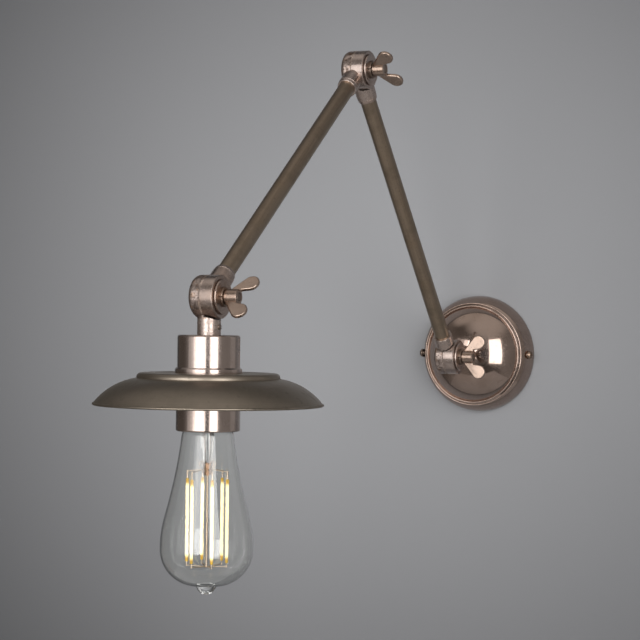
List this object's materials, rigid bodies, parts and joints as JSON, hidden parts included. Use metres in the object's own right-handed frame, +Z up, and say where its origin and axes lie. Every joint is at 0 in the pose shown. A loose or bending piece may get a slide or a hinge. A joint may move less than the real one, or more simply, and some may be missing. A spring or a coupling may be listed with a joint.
{
  "type": "adjustable wall light",
  "caption": "Folding two-arm wall light in aged bronze: domed wall rose, knuckle joints with wing nuts, shallow shade over a bare pear-shaped lamp.",
  "frame": {"origin": "centre of the wall rose's back face, on the wall, midway between the wall screw slots", "axes": "+Z up, wall in the XZ plane, the light reaches out along -Y; +X is to the right when facing the wall"},
  "size_m": [0.158, 0.5871, 0.3926],
  "materials": {
    "bronze_joint": "brushed, aged bronze plate",
    "bronze_tube": "satin aged bronze",
    "bronze_rose": "polished aged bronze",
    "gunmetal_shade": "dark polished bronze plate",
    "dark_steel": "dark plated",
    "zinc_steel": "zinc plated",
    "fibre": "matt pressed fibre",
    "white_plastic": "satin",
    "contact_brass": "bright brass",
    "moulded_insulator": "moulded, semi-matt",
    "solder": "dull solder",
    "cap_metal": "bright",
    "black_glass": "glossy",
    "clear_glass": "clear",
    "support_wire": "bright wire, coppery crown",
    "glow_rod": "lit coated rod"
  },
  "bodies": {
    "wall_base": {"wall_bracket": "zinc_steel", "rose_dome": "bronze_rose", "rose_screws": "dark_steel", "stem_washer": "zinc_steel", "stem_nut": "zinc_steel", "terminal_block": "white_plastic", "terminal_screws": "contact_brass", "earth_screw": "contact_brass", "wall_stem_collar": "bronze_rose", "wall_knuckle_base": "bronze_joint"},
    "lower_arm": {"lower_arm_wall_knuckle": "bronze_joint", "wall_friction_disc": "fibre", "wall_pivot_screw": "dark_steel", "lower_arm_tube": "bronze_tube", "lower_arm_ferrule": "bronze_joint", "lower_arm_elbow_knuckle": "bronze_joint", "elbow_friction_disc": "fibre", "elbow_pivot_screw": "dark_steel"},
    "upper_arm": {"upper_arm_elbow_knuckle": "bronze_joint", "upper_arm_elbow_ferrule": "bronze_joint", "upper_arm_tube": "bronze_tube", "upper_arm_head_ferrule": "bronze_joint", "upper_arm_head_knuckle": "bronze_joint"},
    "lamp_head": {"head_knuckle": "bronze_joint", "head_friction_disc": "fibre", "head_pivot_screw": "dark_steel", "neck_grub_screw": "dark_steel", "holder_nipple": "zinc_steel", "nipple_nut": "zinc_steel", "holder_cup": "bronze_joint", "holder_bridge": "zinc_steel", "shade_flange": "bronze_joint", "shade": "gunmetal_shade", "shade_ring": "bronze_joint", "holder_insulator": "moulded_insulator", "holder_screws": "zinc_steel", "holder_terminals": "contact_brass", "screw_shell": "contact_brass", "centre_contact": "contact_brass"},
    "bulb_tip": {"bulb_contact": "solder"},
    "bulb": {"bulb_insulator": "black_glass", "bulb_cap": "cap_metal", "bulb_glass": "clear_glass", "bulb_stem": "clear_glass", "bulb_supports": "support_wire", "bulb_filaments": "glow_rod"},
    "wall_washers": {"wall_thrust_washer": "bronze_joint", "wall_spring_washer": "dark_steel"},
    "wall_nut": {"wall_wing_nut": "bronze_joint"},
    "elbow_washers": {"elbow_thrust_washer": "bronze_joint", "elbow_spring_washer": "dark_steel"},
    "elbow_nut": {"elbow_wing_nut": "bronze_joint"},
    "head_washers": {"head_thrust_washer": "bronze_joint", "head_spring_washer": "dark_steel"},
    "head_nut": {"head_wing_nut": "bronze_joint"}
  },
  "joints": [
    {"name": "wall_pivot", "type": "hinge", "parent": "wall_base", "child": "lower_arm", "pos_m": [0, -0.07304, 0], "axis": [1, 0, 0], "range_deg": [-38, 75]},
    {"name": "elbow_pivot", "type": "hinge", "parent": "lower_arm", "child": "upper_arm", "pos_m": [0, -0.26224, 0.23281], "axis": [1, 0, 0], "range_deg": [-115, 28]},
    {"name": "head_pivot", "type": "hinge", "parent": "upper_arm", "child": "lamp_head", "pos_m": [0, -0.50617, 0.05818], "axis": [1, 0, 0], "range_deg": [-110, 55]},
    {"name": "wall_clamp_slide", "type": "slide", "parent": "lower_arm", "child": "wall_washers", "axis": [1, 0, 0], "range_m": [0, 0.0022]},
    {"name": "wall_nut_turn", "type": "hinge", "parent": "wall_washers", "child": "wall_nut", "pos_m": [0, -0.07304, 0], "axis": [1, 0, 0], "range_deg": [0, 720]},
    {"name": "elbow_clamp_slide", "type": "slide", "parent": "lower_arm", "child": "elbow_washers", "axis": [1, 0, 0], "range_m": [0, 0.0022]},
    {"name": "elbow_nut_turn", "type": "hinge", "parent": "elbow_washers", "child": "elbow_nut", "pos_m": [0, -0.26224, 0.23281], "axis": [1, 0, 0], "range_deg": [0, 720]},
    {"name": "head_clamp_slide", "type": "slide", "parent": "lamp_head", "child": "head_washers", "axis": [1, 0, 0], "range_m": [0, 0.0022]},
    {"name": "head_nut_turn", "type": "hinge", "parent": "head_washers", "child": "head_nut", "pos_m": [0, -0.50617, 0.05818], "axis": [1, 0, 0], "range_deg": [0, 720]},
    {"name": "bulb_slide", "type": "slide", "parent": "lamp_head", "child": "bulb_tip", "axis": [0, -0.0262, -0.9997], "range_m": [0, 0.0256]},
    {"name": "bulb_turn", "type": "hinge", "parent": "bulb_tip", "child": "bulb", "pos_m": [0, -0.50775, -0.0024], "axis": [0, -0.0262, -0.9997], "range_deg": [0, 2520]}
  ],
  "couplings": [
    {"joint": "wall_clamp_slide", "follows": "wall_nut_turn", "m_per_rad": 0.00015915},
    {"joint": "elbow_clamp_slide", "follows": "elbow_nut_turn", "m_per_rad": 0.00015915},
    {"joint": "head_clamp_slide", "follows": "head_nut_turn", "m_per_rad": 0.00015915},
    {"joint": "bulb_slide", "follows": "bulb_turn", "m_per_rad": 0.00057773}
  ]
}
